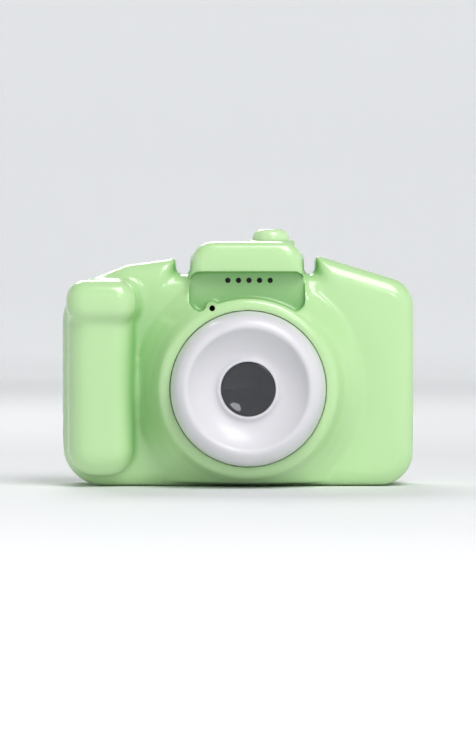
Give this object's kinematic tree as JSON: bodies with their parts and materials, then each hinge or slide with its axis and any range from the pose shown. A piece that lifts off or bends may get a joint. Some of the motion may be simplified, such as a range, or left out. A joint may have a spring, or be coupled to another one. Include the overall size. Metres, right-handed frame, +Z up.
{
  "type": "kids digital camera",
  "caption": "Compact toy-styled digital camera with a rounded body, finger grip, raised hump, wide lens ring, rear screen, keys and a sprung shutter button.",
  "frame": {"origin": "on the table, under the middle of the camera's bounding box", "axes": "+X to the right seen from the front, -Y the way the lens points, +Z up"},
  "size_m": [0.08, 0.045, 0.0585],
  "materials": {
    "body_green": "glossy moulded ABS, pastel green",
    "ring_white": "glossy moulded ABS, cool white",
    "dark_lens": "clear dark-tinted acrylic and glass",
    "smoked_window": "polished black-backed acrylic",
    "key_white": "glossy white key caps",
    "button_green": "glossy paler green key cap",
    "black_plastic": "matte black moulding",
    "lens_barrel_black": "black anodised barrel",
    "circuit_board": "green solder mask",
    "chip_black": "moulded chip package",
    "steel": "plated steel",
    "boot_rubber": "soft black rubber",
    "flap_rubber": "soft green rubber",
    "card_black": "matte black card",
    "lcd_dark": "dark display glass",
    "lcd_frame_white": "white backlight frame",
    "ribbon_amber": "amber film ribbon",
    "battery_foil": "silver pouch foil",
    "tape_grey": "grey foam tape",
    "wire_red": "red wire sleeve"
  },
  "bodies": {
    "camera": {"front_shell": "body_green", "rear_shell": "body_green", "lens_ring": "ring_white", "lens_window": "dark_lens", "lens_glass": "dark_lens", "screen_window": "smoked_window", "viewfinder_window": "smoked_window", "lens_mask": "black_plastic", "lens_holder": "black_plastic", "speaker": "black_plastic", "lens_barrel": "lens_barrel_black", "sensor_board": "circuit_board", "main_board": "circuit_board", "key_board": "circuit_board", "shutter_board": "circuit_board", "image_sensor": "chip_black", "processor_chip": "chip_black", "memory_chip": "chip_black", "microphone": "steel", "usb_socket": "steel", "card_slot": "steel", "mode_switch": "steel", "up_switch": "steel", "left_switch": "steel", "right_switch": "steel", "down_switch": "steel", "shutter_switch": "steel", "housing_screw_1": "steel", "housing_screw_2": "steel", "housing_screw_3": "steel", "housing_screw_4": "steel", "board_screw_1": "steel", "board_screw_2": "steel", "microphone_boot": "boot_rubber", "lcd_panel": "lcd_dark", "lcd_frame": "lcd_frame_white", "lcd_ribbon": "ribbon_amber", "sensor_ribbon": "ribbon_amber", "shutter_ribbon": "ribbon_amber", "key_ribbon": "ribbon_amber", "battery": "battery_foil", "battery_tape": "tape_grey", "battery_lead": "wire_red", "speaker_lead": "wire_red"},
    "shutter": {"shutter_button": "button_green", "shutter_plunger": "black_plastic"},
    "mode_key": {"mode_button": "key_white", "mode_plunger": "black_plastic"},
    "up_key": {"up_button": "key_white", "up_plunger": "black_plastic"},
    "left_key": {"left_button": "key_white", "left_plunger": "black_plastic"},
    "right_key": {"right_button": "key_white", "right_plunger": "black_plastic"},
    "down_key": {"down_button": "key_white", "down_plunger": "black_plastic"},
    "port_flap": {"port_cover": "flap_rubber"},
    "card": {"memory_card": "card_black"}
  },
  "joints": [
    {"name": "shutter_press", "type": "slide", "parent": "camera", "child": "shutter", "axis": [0, 0, -1], "range_m": [0, 0.0006], "stiffness_N_per_m": 1200},
    {"name": "mode_press", "type": "slide", "parent": "camera", "child": "mode_key", "axis": [0, -1, 0], "range_m": [0, 0.0004], "stiffness_N_per_m": 1200},
    {"name": "up_press", "type": "slide", "parent": "camera", "child": "up_key", "axis": [0, -1, 0], "range_m": [0, 0.0004], "stiffness_N_per_m": 1200},
    {"name": "left_press", "type": "slide", "parent": "camera", "child": "left_key", "axis": [0, -1, 0], "range_m": [0, 0.0004], "stiffness_N_per_m": 1200},
    {"name": "right_press", "type": "slide", "parent": "camera", "child": "right_key", "axis": [0, -1, 0], "range_m": [0, 0.0004], "stiffness_N_per_m": 1200},
    {"name": "down_press", "type": "slide", "parent": "camera", "child": "down_key", "axis": [0, -1, 0], "range_m": [0, 0.0004], "stiffness_N_per_m": 1200},
    {"name": "port_flap_hinge", "type": "hinge", "parent": "camera", "child": "port_flap", "pos_m": [0.0073, 0.0143, 0.0005], "axis": [0, 1, 0], "range_deg": [0, 100]},
    {"name": "card_push", "type": "slide", "parent": "camera", "child": "card", "axis": [0, 0, 1], "range_m": [0, 0.0006], "stiffness_N_per_m": 400}
  ]
}
